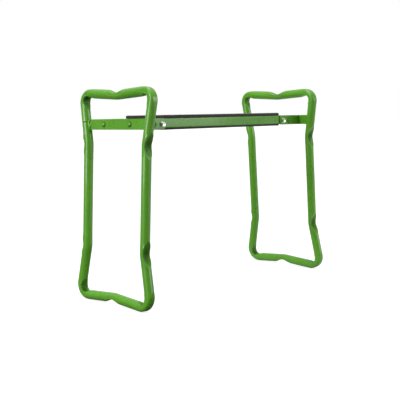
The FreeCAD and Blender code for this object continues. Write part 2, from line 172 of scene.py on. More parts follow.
# The camera sees a plain pale floor. Other rays meet one that is darker on the left.
FLOOR_RADIUS = 30
FLOOR_SEEN = ((0.46, 0.46, 0.46), (0.48, 0.48, 0.48))
FLOOR_BOUNCE_SPAN = (-0.1, 0.5)
FLOOR_BOUNCE_LEFT = (0.10, 0.10, 0.10)
FLOOR_BOUNCE_RIGHT = (0.75, 0.75, 0.75)
WORLD_FILL = 1.0
WORLD_BRIGHT_SIDE = (0.66, 0.70, 0.28)
WORLD_STOPS = ((0.0, 0.03), (0.35, 0.06), (0.60, 0.15), (0.80, 0.45), (1.0, 0.75))
# name, direction towards the light, strength, angle
SUNS = (
    ("key", (-0.93, 0.10, 0.52), 1.0, 30),
    ("front", (0.53, -0.82, 0.24), 1.15, 40),
    ("sky", (-0.10, -0.05, 1.0), 1.05, 50),
)
# name, place, the point it faces, size, watts
SOFTBOXES = (
    ("softbox", (-2.85, 0.45, 0.80), (-0.10, 0.0, 0.28), (2.0, 1.05), 34),
    ("overhead", (-0.25, -0.05, 1.30), (-0.20, 0.0, 0.40), (0.5, 0.9), 3.3),
)
FLOOR_GLOW = 0.78

# --- foam pads ----------------------------------------------------------------------------------
PAD_LAP = 5.2 * MM
UPPER_PAD_LOFT = 1.5 * MM
LOWER_PAD_PRESSED = 1.2 * MM
PAD_RAIL = 12.6 * MM
PAD_CORNER = 1.8 * MM
PAD_ROLL = 0.6 * MM
PAD_GRID = 5 * MM
PAD_EDGE_LINES = (0, 0.8, 2.0, 4.0, 7.5, 11.8, 12.9, 16)
PAD_START_INSET = 0.3 * MM
PAD_START_DROP = 0.2 * MM
PAD_SIDE_ROWS = ((0.15, 0.78), (0.0, 0.45), (0.1, 0.15))
PAD_UNDER_INSET = 0.4 * MM
PAD_UNDER_GAP = 0.05 * MM
PAD_CLOTH = {
    "quality": 6, "mass": 0.4, "tension_stiffness": 18, "compression_stiffness": 18,
    "shear_stiffness": 12, "bending_stiffness": 6, "use_pressure": True,
    "uniform_pressure_force": 2.0, "vertex_group_mass": "held",
}
PAD_FRAMES = 16
UPPER_PAD_SWELL = 0.8 * MM
LOWER_PAD_SWELL = 0.5 * MM

# --- edges of the carried-over CAD nodes --------------------------------------------------------
NODE_WELD_GAP = 0.002 * MM
NODE_FLAT_DEGREES = 0.6
NODE_BEVEL_DEGREES = 40


# =================================================================================================
# helpers
# =================================================================================================
def new_object(name, vertices, faces):
    mesh = bpy.data.meshes.new(name)
    mesh.from_pydata([tuple(v) for v in vertices], [], faces)
    mesh.validate()
    mesh.polygons.foreach_set("use_smooth", [True] * len(mesh.polygons))
    mesh.update()
    obj = bpy.data.objects.new(name, mesh)
    bpy.context.scene.collection.objects.link(obj)
    return obj


def make_normals_point_out(obj):
    work = bmesh.new()
    work.from_mesh(obj.data)
    bmesh.ops.recalc_face_normals(work, faces=work.faces)
    work.to_mesh(obj.data)
    work.free()


def piece(name, points, faces, body, node, painted_shade_mask=None):
    """A closed mesh that rides on a body and stands for a CAD node.

    The last argument says how much painted shade darkens each point: how hard it is pressed in, or
    how deep in a crevice it sits.
    """
    obj = new_object(name, points, faces)
    make_normals_point_out(obj)
    if painted_shade_mask is not None:
        attribute = obj.data.attributes.new("painted_shade_mask", "FLOAT", "POINT")
        attribute.data.foreach_set("value", np.asarray(painted_shade_mask, np.float32))
    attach(obj, body)
    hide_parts(node)
    return obj


def sharpen_by_angle(obj, degrees):
    """Marks edges that turn more than an angle as sharp, so that facets stay crisp."""
    work = bmesh.new()
    work.from_mesh(obj.data)
    for edge in work.edges:
        if len(edge.link_faces) == 2:
            edge.smooth = edge.calc_face_angle() < math.radians(degrees)
    work.to_mesh(obj.data)
    work.free()


def grid_faces(rows, columns, close_rows=False, close_columns=True, start=0):
    """Quads between rows of points that each have the same number of columns."""
    faces = []
    for i in range(rows if close_rows else rows - 1):
        for j in range(columns if close_columns else columns - 1):
            a = start + i * columns + j
            b = start + i * columns + (j + 1) % columns
            c = start + ((i + 1) % rows) * columns + (j + 1) % columns
            d = start + ((i + 1) % rows) * columns + j
            faces.append((a, b, c, d))
    return faces


def capped_tube(rows, ring, start):
    """Quads between a tube's rows of points, with a flat cap at each end."""
    last = start + (rows - 1) * ring
    caps = [tuple(range(start, start + ring)), tuple(range(last, last + ring))]
    return grid_faces(rows, ring, start=start) + caps


def smooth_min(a, b, width):
    """The lower of two values, rounded where they meet."""
    share = np.maximum(width - np.abs(a - b), 0) / width
    return np.minimum(a, b) - share ** 2 * width / 4


def splayed(points, side):
    """Leans upright leg-plane points out by the splay, and mirrors them for the left leg."""
    points = np.asarray(points, float)
    x = points[:, 0] - LEG_PLANE_X
    z = points[:, 2] - CROSSBAR_Z
    cos, sin = math.cos(SPLAY), math.sin(SPLAY)
    leaning = np.column_stack([
        side * (LEG_PLANE_X + x * cos - z * sin), points[:, 1], CROSSBAR_Z + x * sin + z * cos])
    return leaning


# =================================================================================================
# leg loops
# =================================================================================================
def corner_vertex(centre_z, radius, kink_z, flare, slope, way):
    """A corner's vertex (y, z) on the loop's centre line, and the bar's height at its middle."""
    rise = way * (centre_z - kink_z)
    centre_y = WAIST_HALF_DEPTH + rise * math.tan(flare) - radius / math.cos(flare)
    middle_z = centre_z + way * (radius / math.cos(slope) - centre_y * math.tan(slope))
    reach = WAIST_HALF_DEPTH + way * (middle_z - kink_z) * math.tan(flare)
    vertex_y = reach / (1 - math.tan(slope) * math.tan(flare))
    return vertex_y, middle_z + way * vertex_y * math.tan(slope), middle_z


def loop_outline():
    """Corner points (y, z, bend radius, kind of bend) of the loop's centre line."""
    lean = math.cos(SPLAY)
    crest = CROSSBAR_Z + (OVERALL_HEIGHT - TUBE_RADIUS - CROSSBAR_Z) / lean
    lowest = CROSSBAR_Z - (CROSSBAR_Z - TUBE_RADIUS) / lean
    top_y, top_z, top_middle = corner_vertex(
        crest - TOP_CORNER_RADIUS, TOP_CORNER_RADIUS, UPPER_KINK_Z, UPPER_FLARE, TOP_DIP, 1)
    low_y, low_z, low_middle = corner_vertex(
        lowest + BOTTOM_CORNER_RADIUS, BOTTOM_CORNER_RADIUS, LOWER_KINK_Z, LOWER_FLARE,
        BOTTOM_RISE, -1)
    half = [
        (top_y, top_z, TOP_CORNER_RADIUS, "corner"),
        (WAIST_HALF_DEPTH, UPPER_KINK_Z, KINK_RADIUS, "kink"),
        (WAIST_HALF_DEPTH, LOWER_KINK_Z, KINK_RADIUS, "kink"),
        (low_y, low_z, BOTTOM_CORNER_RADIUS, "corner"),
    ]
    other_half = [(-y, z, radius, kind) for y, z, radius, kind in reversed(half)]
    top = [(0, top_middle, MIDDLE_RADIUS, "middle")]
    bottom = [(0, low_middle, MIDDLE_RADIUS, "middle")]
    return top + half + bottom + other_half


class Route:
    """The loop's centre line as straight runs and arcs, measured along its length."""

    def __init__(self, corners):
        count = len(corners)
        points = [np.array(c[:2], float) for c in corners]
        bends = []
        for i, (_, _, radius, kind) in enumerate(corners):
            back = points[i - 1] - points[i]
            ahead = points[(i + 1) % count] - points[i]
            back /= np.linalg.norm(back)
            ahead /= np.linalg.norm(ahead)
            half_angle = math.acos(float(back @ ahead)) / 2
            tangent = radius / math.tan(half_angle)
            bisector = (back + ahead) / np.linalg.norm(back + ahead)
            centre = points[i] + bisector * radius / math.sin(half_angle)
            turn = math.pi - 2 * half_angle
            bends.append((points[i] + back * tangent, points[i] + ahead * tangent, centre, turn,
                          radius, kind, -back))
        self.pieces = []
        self.bends = []
        length = 0
        for i, (start, end, centre, turn, radius, kind, heading) in enumerate(bends):
            way = np.sign(heading[0] * (centre - start)[1] - heading[1] * (centre - start)[0])
            self.pieces.append((length, "arc", start, heading, centre, way / radius))
            self.bends.append((length + radius * turn / 2, kind, way))
            length += radius * turn
            run = bends[(i + 1) % count][0] - end
            size = np.linalg.norm(run)
            self.pieces.append((length, "run", end, run / size, None, 0))
            length += size
        self.length = length

    def at(self, s):
        """Point and unit heading at a distance along the route."""
        s %= self.length
        begin, form, start, heading, centre, curvature = [p for p in self.pieces if p[0] <= s][-1]
        if form == "run":
            return start + heading * (s - begin), heading
        angle = curvature * (s - begin)
        cos, sin = math.cos(angle), math.sin(angle)
        rotation = np.array([[cos, -sin], [sin, cos]])
        return centre + rotation @ (start - centre), rotation @ heading


def loop_dents(route):
    """Every dent as (place along the route, side of the tube, depth, half length).

    The route runs down the back side from the top's middle, so its left is the loop's outside.
    """
    dents = []
    for place, kind, way in route.bends:
        if kind == "corner":
            dents.append((place, way, *CORNER_DENT, kind))
            dents.append((place, -way, *CORNER_OUTER_FLAT, "flat"))
        elif kind == "kink":
            dents.append((place, way, *KINK_DENT, kind))
        else:
            dents.append((place, way, *MIDDLE_DENT, "middle"))
    return dents


def pressed_in(across, beside, offset, way, depth, half_length, kind):
    """A ring's two offsets after one dent, and how hard each of its points is pressed, which sets
    its painted shade.

    A dent is a hollow with a raised lip, and a flat has neither.  way is the side it is on.
    """
    reach = 1 - abs(offset / half_length) ** DENT_PROFILE_POWER
    inside = max(reach, 0)
    cap = TUBE_RADIUS - depth * reach
    if kind == "flat":
        toward = smooth_min(way * across, cap, OUTER_FLAT_RIM)
        return way * toward, beside, np.zeros_like(across)
    wrinkle = math.cos(2 * math.pi * offset / CORNER_WRINKLE_PITCH) if kind == "corner" else 0
    bowl = DENT_HOLLOW * inside * (1 - (beside / TUBE_RADIUS) ** 2)
    border = cap + wrinkle * CORNER_WRINKLE * inside * np.abs(beside / TUBE_RADIUS)
    toward = smooth_min(way * across, border - bowl, DENT_RIM)
    # Painted shade follows the pressing depth, with less of it in the middle dents.
    painted_shade_share = MIDDLE_DENT_PAINTED_SHADE if kind == "middle" else 1
    pressed = np.abs(toward - way * across) / (depth + DENT_HOLLOW) * painted_shade_share
    from_lip = (way * across - border) / DENT_LIP_WIDTH
    lip = DENT_LIP_HEIGHT * min(1, DENT_LIP_RISE * inside) * np.exp(-from_lip ** 2)
    grow = 1 + lip / TUBE_RADIUS
    widest = TUBE_RADIUS * (1 - DENT_TUCK * inside)
    spread = np.clip(beside * grow * (1 + DENT_SPREAD * inside), -widest, widest)
    return way * toward * grow, spread, pressed


def leg_tube(side_name):
    side = SIDES[side_name]
    route = Route(loop_outline())
    dents = loop_dents(route)
    down_the_back = np.arange(0, route.length / 2, 0.05 * MM)
    seam = min(down_the_back, key=lambda s: abs(route.at(s)[0][1] - SEAM_Z))
    stops = [0.0]
    while stops[-1] < route.length - FINE_STEP:
        here = stops[-1]
        near = min(min(abs(here - d[0]), route.length - abs(here - d[0])) - d[3] for d in dents)
        step = min(COARSE_STEP, max(FINE_STEP, near * 0.4))
        stops.append(here + step)
    clear = (SEAM_STOPS[-1] + 0.5) * MM
    stops = [s for s in stops if abs(s - seam) > clear and s < route.length - 0.4 * FINE_STEP]
    stops += [seam + offset * MM for offset in SEAM_STOPS]
    stops.sort()
    angles = np.linspace(0, 2 * math.pi, RING_POINTS, endpoint=False)
    vertices = []
    painted_shade_mask = []
    for s in stops:
        point, heading = route.at(s)
        left = np.array([-heading[1], heading[0]])
        groove = math.exp(-((s - seam) / SEAM_HALF_WIDTH) ** 4)
        radius = TUBE_RADIUS - SEAM_DEPTH * groove
        across = radius * np.cos(angles)
        beside = radius * np.sin(angles)
        # Painted shade starts at the seam groove, and each dent adds its own.
        pressed = np.full(RING_POINTS, groove)
        for place, way, depth, half_length, kind in dents:
            offset = (s - place + route.length / 2) % route.length - route.length / 2
            if abs(offset) < half_length * DENT_REACH:
                across, beside, share = pressed_in(
                    across, beside, offset, way, depth, half_length, kind)
                pressed = pressed + share
        painted_shade_mask.append(pressed)
        vertices.append(np.column_stack([
            LEG_PLANE_X + beside, point[0] + left[0] * across, point[1] + left[1] * across]))
    points = splayed(np.vstack(vertices), side)
    faces = grid_faces(len(stops), RING_POINTS, close_rows=True)
    if side < 0:
        faces = [tuple(reversed(f)) for f in faces]
    return piece("leg_loop_" + side_name, points, faces, side_name + "_leg",
                 "leg_tube_" + side_name, np.clip(np.concatenate(painted_shade_mask), 0, 1))


def side_y(route, z):
    """Distance from the middle to the centre line of the loop's back side at a height."""
    stops = np.arange(0, route.length / 2, 0.2 * MM)
    return min((route.at(s)[0] for s in stops), key=lambda p: abs(p[1] - z))[0]


# =================================================================================================
# weld beads
# =================================================================================================
def weld_beads(side_name):
    """Four rippled fillet beads, one along each face and end of the crossbar."""
    side = SIDES[side_name]
    route = Route(loop_outline())
    vertices, faces = [], []
    for end in (-1, 1):
        for face in (-1, 1):
            start = len(vertices)
            seed = end * 3.1 + face * 7.7
            for i in range(BEAD_ROWS):
                t = i / (BEAD_ROWS - 1)
                z = CROSSBAR_Z + (2 * t - 1) * BEAD_HALF_LENGTH
                y = side_y(route, z) - TUBE_RADIUS
                wobble = noise.noise(Vector((t * 5, seed, 0.3))) * 0.5 * BEAD_ZIGZAG
                swing = 2 * math.pi * (t * BEAD_ZIGZAGS + 0.1 * seed)
                wobble += math.asin(math.sin(swing)) * 0.6 * BEAD_ZIGZAG
                ripple = abs(math.sin(math.pi * t * BEAD_RIPPLES)) ** 0.7
                body = (1 - abs(2 * t - 1) ** 7) ** 0.5
                thickness = (BEAD_RADIUS + BEAD_RIPPLE_HEIGHT * ripple) * body
                radius = max(thickness, BEAD_LEAST_RADIUS)
                for k in range(BEAD_RING_POINTS):
                    angle = 2 * math.pi * k / BEAD_RING_POINTS
                    vertices.append((
                        LEG_PLANE_X + face * CROSSBAR_HALF + radius * math.cos(angle) * BEAD_SQUASH,
                        end * (y - BEAD_SINK + wobble + radius * math.sin(angle)),
                        z - BEAD_SKEW * math.cos(angle) * face))
            faces += capped_tube(BEAD_ROWS, BEAD_RING_POINTS, start)
    return piece("weld_beads_" + side_name, splayed(vertices, side), faces, side_name + "_leg",
                 "crossbar_welds_" + side_name)


# =================================================================================================
# hinge hardware
# =================================================================================================
def hex_radius(angle):
    """Distance from a hexagon's middle to its edge; its corners point up and down."""
    return HEX_ACROSS_FLATS / 2 / math.cos(angle % (math.pi / 3) - math.pi / 6)


def turned_rings(profile, x, z, end):
    """Rings round the pivot from (y, radius, is_hex) rows; a hex row is cut to its radius."""
    points = []
    for y, radius, is_hex in profile:
        for k in range(HEX_POINTS):
            angle = 2 * math.pi * k / HEX_POINTS
            reach = min(radius, hex_radius(angle)) if is_hex else radius
            points.append((x + reach * math.sin(angle), end * y, z + reach * math.cos(angle)))
    return points


def chamfered_end(y_face, way):
    """Rows of a hexagon's chamfered end, from its flat face down its sides."""
    start = HEX_ACROSS_FLATS / 2 * CHAMFER_START
    rows = [(y_face, start, True)]
    for drop in CHAMFER_DROPS:
        rows.append((y_face - way * drop * MM, start + drop * MM * CHAMFER_SLOPE, True))
    return rows


def pivot_hardware(name, node, side_name, profile, is_ring):
    """A plated piece turned from one profile at both pivots of a side."""
    vertices, faces = [], []
    for end in (-1, 1):
        start = len(vertices)
        vertices += turned_rings(profile, SIDES[side_name] * PIVOT_X, PIVOT_Z, end)
        if is_ring:
            faces += grid_faces(len(profile), HEX_POINTS, close_rows=True, start=start)
        else:
            faces += capped_tube(len(profile), HEX_POINTS, start)
    obj = piece(name + side_name, vertices, faces, "seat", node + side_name)
    sharpen_by_angle(obj, HARDWARE_SHARP_DEGREES)
    return obj


def pivot_bolts(side_name):
    """Hex bolts with a dished, chamfered head and a chamfered tip."""
    top = BOLT_HEAD_Y + BOLT_HEAD_HEIGHT
    dish, (inner, outer) = top - HEAD_DISH_DEPTH, HEAD_DISH_RADII
    profile = [(dish, AXIS_RADIUS, False), (dish, inner, False), (top, outer, False)]
    profile += chamfered_end(top, 1)
    profile += [
        (BOLT_HEAD_Y + WASHER_FACE_HEIGHT, UNCUT, True),
        (BOLT_HEAD_Y, WASHER_FACE_RADIUS, True),
        (BOLT_HEAD_Y, BOLT_RADIUS, False),
        (BOLT_TAIL_Y + TIP_CHAMFER[0], BOLT_RADIUS, False),
        (BOLT_TAIL_Y, BOLT_RADIUS - TIP_CHAMFER[1], False),
        (BOLT_TAIL_Y, AXIS_RADIUS, False),
    ]
    return pivot_hardware("hinge_bolts_", "pivot_bolts_", side_name, profile, False)


def pivot_nuts(side_name):
    """Lock nuts: a hexagon chamfered at its inner end, and the rolled collar round its nylon."""
    collar = NUT_FACE_Y - NUT_HEIGHT
    profile = [(NUT_FACE_Y, BOLT_RADIUS, False), (NUT_FACE_Y, WASHER_FACE_RADIUS, True)]
    profile += [(NUT_FACE_Y - WASHER_FACE_HEIGHT, UNCUT, True)]
    profile += list(reversed(chamfered_end(collar, -1)))
    profile += [(collar - drop * MM, NUT_COLLAR_RADIUS - shrink * MM, False)
                for drop, shrink in NUT_COLLAR_ROWS]
    profile += [(collar - NUT_MOUTH_DROP, BOLT_RADIUS, False)]
    return pivot_hardware("lock_nuts_", "pivot_nuts_", side_name, profile, True)


def turned_piece(name, node, side_name, profile, places, along):
    """A coated turned piece at each place: rows of (place along its axis, radius, painted shade).

    places holds (middle, way) pairs, and along is the axis it is turned about, "x" or "y".
    One that is turned about x leans with the leg.
    """
    vertices, faces, painted_shade_share = [], [], []
    for middle, way in places:
        start = len(vertices)
        for rise, radius, painted_shade in profile:
            for k in range(HEX_POINTS):
                angle = 2 * math.pi * k / HEX_POINTS
                side_step, up = radius * math.cos(angle), radius * math.sin(angle)
                step = (way * rise, side_step, up) if along == "x" else (side_step, way * rise, up)
                vertices.append(tuple(np.add(middle, step)))
                painted_shade_share.append(painted_shade)
        faces += capped_tube(len(profile), HEX_POINTS, start)
    if along == "x":
        vertices = splayed(vertices, SIDES[side_name])
    return piece(name + side_name, vertices, faces, side_name + "_leg", node + side_name,
                 painted_shade_share)


def crossbar_rivets(side_name):
    """Two rivets through the crossbar and the bracket, domed at both ends."""
    head = [(h * MM, r * MM, painted_shade) for h, r, painted_shade in RIVET_HEAD]
    outer = [(LEG_PLANE_X + CROSSBAR_HALF + h, r, painted_shade) for h, r, painted_shade in head]
    inner = [(LEG_PLANE_X - CROSSBAR_HALF - BRACKET_THICKNESS - h, r, painted_shade)
             for h, r, painted_shade in reversed(head)]
    places = [((0, y, CROSSBAR_Z), 1) for y in (-RIVET_Y, RIVET_Y)]
    return turned_piece("rivets_", "bracket_rivets_", side_name, outer + inner, places, "x")


def stop_pins(side_name):
    """The pins that the seat's hooks stop against: riveted over, with a punched middle that gets
    painted shade, as does the ring round the head's foot.
    """
    rows = [(y * MM, r * MM, painted_shade) for y, r, painted_shade in STOP_PIN_ROWS]
    places = [((SIDES[side_name] * STOP_PIN_X, 0, PIVOT_Z), way) for way in (-1, 1)]
    return turned_piece("hinge_stops_", "stop_pins_", side_name, rows, places, "y")


# =================================================================================================
# foam pads
# =================================================================================================
def lines_across(half, fine):
    """Grid line places from one edge to the other, close together near the edges."""
    near = [half - d * MM for d in fine]
    inner = near[-1]
    count = max(2, round(2 * inner / PAD_GRID))
    middle = list(np.linspace(-inner, inner, count + 1)[1:-1])
    return sorted([-v for v in near] + middle + near)


def rounded_corner(x, y, half_x, half_y, radius):
    """Moves a grid point so that the rectangle's corners become round."""
    dx = abs(x) - (half_x - radius)
    dy = abs(y) - (half_y - radius)
    if dx <= 0 or dy <= 0:
        return x, y
    new_x = dx * math.sqrt(1 - dy * dy / (2 * radius * radius))
    new_y = dy * math.sqrt(1 - dx * dx / (2 * radius * radius))
    return (math.copysign(half_x - radius + new_x, x), math.copysign(half_y - radius + new_y, y))


def pad(name, node, way):
    """Foam pad: a closed slab that laps the rails, with a core down to the pan.

    way is +1 for the pad that faces up and -1 for the one that faces down.
    """
    low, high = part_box(node)
    half_x, half_y = high.x, high.y
    face = high.z if way > 0 else -low.z
    pan = low.z if way > 0 else -high.z
    lap = face - PAD_LAP
    face += UPPER_PAD_LOFT if way > 0 else -LOWER_PAD_PRESSED
    xs = lines_across(half_x - PAD_START_INSET, PAD_EDGE_LINES)
    ys = lines_across(half_y - PAD_START_INSET, PAD_EDGE_LINES)
    edge_x, edge_y = xs[-1], ys[-1]
    vertices, faces = [], []

    def place(x, y, inset, z):
        ix = x * (edge_x - inset) / edge_x
        iy = y * (edge_y - inset) / edge_y
        px, py = rounded_corner(ix, iy, edge_x - inset, edge_y - inset, PAD_CORNER - inset)
        vertices.append((px, py, way * z))

    columns = len(ys)
    for x in xs:
        for y in ys:
            place(x, y, PAD_ROLL * 0.5, face - PAD_START_DROP)
    faces += grid_faces(len(xs), columns, close_columns=False)
    under = len(vertices)
    for x in xs:
        for y in ys:
            in_core = abs(x) < half_x - PAD_RAIL and abs(y) < half_y - PAD_RAIL
            place(x, y, PAD_UNDER_INSET, (pan if in_core else lap) + PAD_UNDER_GAP)
    underside = grid_faces(len(xs), columns, close_columns=False, start=under)
    faces += [tuple(reversed(f)) for f in underside]
    rim = ([(i, 0) for i in range(len(xs))] + [(len(xs) - 1, j) for j in range(1, columns)]
           + [(i, columns - 1) for i in range(len(xs) - 2, -1, -1)]
           + [(0, j) for j in range(columns - 2, 0, -1)])
    rings = [[i * columns + j for i, j in rim]]
    for roll, share in PAD_SIDE_ROWS:
        ring = []
        for i, j in rim:
            ring.append(len(vertices))
            place(xs[i], ys[j], roll * PAD_ROLL, lap + share * (face - PAD_START_DROP - lap))
        rings.append(ring)
    rings.append([under + i * columns + j for i, j in rim])
    for a, b in zip(rings, rings[1:]):
        for k in range(len(rim)):
            n = (k + 1) % len(rim)
            faces.append((a[k], b[k], b[n], a[n]))
    obj = new_object(name, vertices, faces)
    make_normals_point_out(obj)
    pinned = list(range(under, under + len(xs) * columns))
    swell(obj, pinned, way)
    round_off(obj)
    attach(obj, "seat")
    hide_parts(node)
    return obj


def swell(obj, pinned, way):
    """Presses the pad out from inside by a short cloth simulation, which rounds its edges.

    The pinned side stays put, and no point moves further than the pad's cap.  The middle of the
    face reaches the cap, so it stays flat.
    """
    rest = np.array([v.co for v in obj.data.vertices], float)
    moved = rest.copy()
    group = obj.vertex_groups.new(name="held")
    group.add(pinned, 1.0, "REPLACE")
    cloth = obj.modifiers.new("swell", "CLOTH")
    settings = cloth.settings
    for setting, value in PAD_CLOTH.items():
        setattr(settings, setting, value)
    settings.effector_weights.gravity = 0
    cloth.collision_settings.use_collision = False
    cloth.point_cache.frame_start = 1
    cloth.point_cache.frame_end = PAD_FRAMES
    scene = bpy.context.scene
    for number in range(1, PAD_FRAMES + 1):
        scene.frame_set(number)
    graph = bpy.context.evaluated_depsgraph_get()
    shaped = obj.evaluated_get(graph).to_mesh()
    moved = np.array([v.co for v in shaped.vertices], float)
    obj.evaluated_get(graph).to_mesh_clear()
    obj.modifiers.remove(cloth)
    scene.frame_set(1)
    shift = moved - rest
    size = np.linalg.norm(shift, axis=1, keepdims=True)
    most = UPPER_PAD_SWELL if way > 0 else LOWER_PAD_SWELL
    shift *= np.minimum(1, most / np.maximum(size, 1e-9))
    obj.data.vertices.foreach_set("co", (rest + shift).astype(np.float32).ravel())
    obj.data.update()


def round_off(obj):
    """One level of subdivision, applied."""
    rounder = obj.modifiers.new("round", "SUBSURF")
    rounder.levels = rounder.render_levels = 1
    graph = bpy.context.evaluated_depsgraph_get()
    mesh = bpy.data.meshes.new_from_object(obj.evaluated_get(graph))
    obj.modifiers.clear()
    obj.data = mesh
    obj.data.polygons.foreach_set("use_smooth", [True] * len(obj.data.polygons))


# =================================================================================================
# materials
# =================================================================================================
class Finish:
    """A node material with object coordinates, colour and roughness variation and stacked bump."""

    def __init__(self, name, roughness, metallic=0.0, **sockets):
        self.material = bpy.data.materials.new(name)
        self.material.use_nodes = True
        self.tree = self.material.node_tree
        self.shader = self.tree.nodes["Principled BSDF"]
        self.shader.inputs["Metallic"].default_value = metallic
        self.shader.inputs["Roughness"].default_value = roughness
        for label, value in sockets.items():
            self.shader.inputs[label.replace("_", " ")].default_value = value
        self.place = self.tree.nodes.new("ShaderNodeTexCoord").outputs["Object"]
        self.normal = None

    def stretched(self, scale):
        mapping = self.tree.nodes.new("ShaderNodeMapping")
        mapping.inputs["Scale"].default_value = scale
        self.tree.links.new(self.place, mapping.inputs["Vector"])
        return mapping.outputs["Vector"]

    def noise(self, scale, detail, vector=None):
        node = self.tree.nodes.new("ShaderNodeTexNoise")
        node.inputs["Scale"].default_value = scale
        node.inputs["Detail"].default_value = detail
        self.tree.links.new(vector or self.place, node.inputs["Vector"])
        return node.outputs["Fac"]

    def cells(self, scale, output="Distance"):
        node = self.tree.nodes.new("ShaderNodeTexVoronoi")
        node.inputs["Scale"].default_value = scale
        self.tree.links.new(self.place, node.inputs["Vector"])
        return node.outputs[output]

    def ramp(self, value, *stops):
        node = self.tree.nodes.new("ShaderNodeValToRGB")
        elements = node.color_ramp.elements
        while len(elements) < len(stops):
            elements.new(0.5)
        for element, (position, color) in zip(elements, stops):
            element.position = position
            element.color = (*color, 1)
        self.tree.links.new(value, node.inputs["Fac"])
        return node.outputs["Color"]

    def span(self, value, low, high, from_low=0.3, from_high=0.7):
        node = self.tree.nodes.new("ShaderNodeMapRange")
        node.inputs["From Min"].default_value = from_low
        node.inputs["From Max"].default_value = from_high
        node.inputs["To Min"].default_value = low
        node.inputs["To Max"].default_value = high
        self.tree.links.new(value, node.inputs["Value"])
        return node.outputs["Result"]

    def mix(self, share, a, b, blend="MIX"):
        node = self.tree.nodes.new("ShaderNodeMix")
        node.data_type = "RGBA"
        node.blend_type = blend
        for value, socket in ((share, node.inputs[0]), (a, node.inputs[6]), (b, node.inputs[7])):
            if isinstance(value, bpy.types.NodeSocket):
                self.tree.links.new(value, socket)
            elif isinstance(value, tuple):
                socket.default_value = (*value, 1)
            else:
                socket.default_value = value
        return node.outputs[2]

    def attribute(self, name):
        node = self.tree.nodes.new("ShaderNodeAttribute")
        node.attribute_name = name
        return node.outputs["Fac"]

    def bump(self, height, distance, strength=1.0):
        node = self.tree.nodes.new("ShaderNodeBump")
        node.inputs["Strength"].default_value = strength
        node.inputs["Distance"].default_value = distance
        self.tree.links.new(height, node.inputs["Height"])
        if self.normal:
            self.tree.links.new(self.normal, node.inputs["Normal"])
        self.normal = node.outputs["Normal"]

    def finish(self, color, roughness=None):
        """Joins up the colour, roughness and bump, and gives the material."""
        self.tree.links.new(color, self.shader.inputs["Base Color"])
        if roughness:
            self.tree.links.new(roughness, self.shader.inputs["Roughness"])
        if self.normal:
            self.tree.links.new(self.normal, self.shader.inputs["Normal"])
        return self.material


def powder_coat(name, with_dents):
    """Glossy green powder coat; with_dents paints shade into it, and dulls its gloss, in dents, the
    seam groove, round rivet feet and in pin middles.
    """
    coat = Finish(name, 0.3, Coat_Weight=COAT_GLOSS, Coat_Roughness=0.08,
                  Specular_IOR_Level=COAT_SPECULAR)
    drift = coat.ramp(coat.noise(11, 3), (0.32, COAT_DEEP), (0.68, COAT_LIGHT))
    fleck = coat.ramp(coat.noise(420, 2), (0.35, (0.93, 0.93, 0.93)), (0.65, (1.0, 1.0, 1.0)))
    color = coat.mix(1.0, drift, fleck, "MULTIPLY")
    if with_dents:
        # Painted shade: mixes the dark green in where the mask is high, and takes off coat and
        # specular gloss there too.
        painted_shade = coat.span(coat.attribute("painted_shade_mask"), 0.0, 0.9, 0.12, 1.0)
        color = coat.mix(painted_shade, color, COAT_PAINTED_SHADE)
        shine = coat.span(coat.attribute("painted_shade_mask"), COAT_GLOSS, 0.02, 0.2, 0.9)
        coat.tree.links.new(shine, coat.shader.inputs["Coat Weight"])
        mirror = coat.span(coat.attribute("painted_shade_mask"), COAT_SPECULAR, 0.08, 0.15, 0.8)
        coat.tree.links.new(mirror, coat.shader.inputs["Specular IOR Level"])
    rough = coat.span(coat.noise(60, 3), 0.24, 0.38)
    coat.bump(coat.noise(130, 2), 0.00012, 0.35)
    coat.bump(coat.noise(640, 2), 0.00005, 0.5)
    return coat.finish(color, rough)


def zinc():
    """Bright zinc plating with a faint yellow and blue cast."""
    metal = Finish("zinc_plating", 0.3, metallic=1.0)
    tint = metal.ramp(metal.noise(160, 3), (0.3, (0.80, 0.81, 0.79)), (0.7, (0.93, 0.93, 0.90)))
    iridescent = metal.ramp(
        metal.noise(70, 2), (0.35, (1.0, 0.97, 0.88)), (0.65, (0.93, 0.97, 1.0)))
    color = metal.mix(1.0, tint, iridescent, "MULTIPLY")
    rough = metal.span(metal.noise(300, 3), 0.2, 0.42)
    metal.bump(metal.noise(90, 3, vector=metal.stretched((40, 4, 40))), 0.00004, 0.4)
    return metal.finish(color, rough)


def galvanised():
    """Sheet steel with zinc spangle."""
    metal = Finish("galvanised_steel", 0.4, metallic=1.0)
    spangle = metal.ramp(
        metal.cells(140, "Color"), (0.2, (0.45, 0.46, 0.47)), (0.8, (0.66, 0.67, 0.68)))
    rough = metal.span(metal.cells(140, "Color"), 0.3, 0.5, 0.0, 1.0)
    metal.bump(metal.noise(500, 2), 0.00003, 0.4)
    return metal.finish(spangle, rough)


def nylon():
    """Natural nylon, slightly translucent."""
    plastic = Finish("natural_nylon", 0.45, Subsurface_Weight=0.15)
    color = plastic.ramp(plastic.noise(60, 3), (0.3, (0.62, 0.60, 0.52)), (0.7, (0.70, 0.68, 0.60)))
    rough = plastic.span(plastic.noise(300, 2), 0.38, 0.55)
    plastic.bump(plastic.noise(700, 2), 0.00003, 0.4)
    return plastic.finish(color, rough)


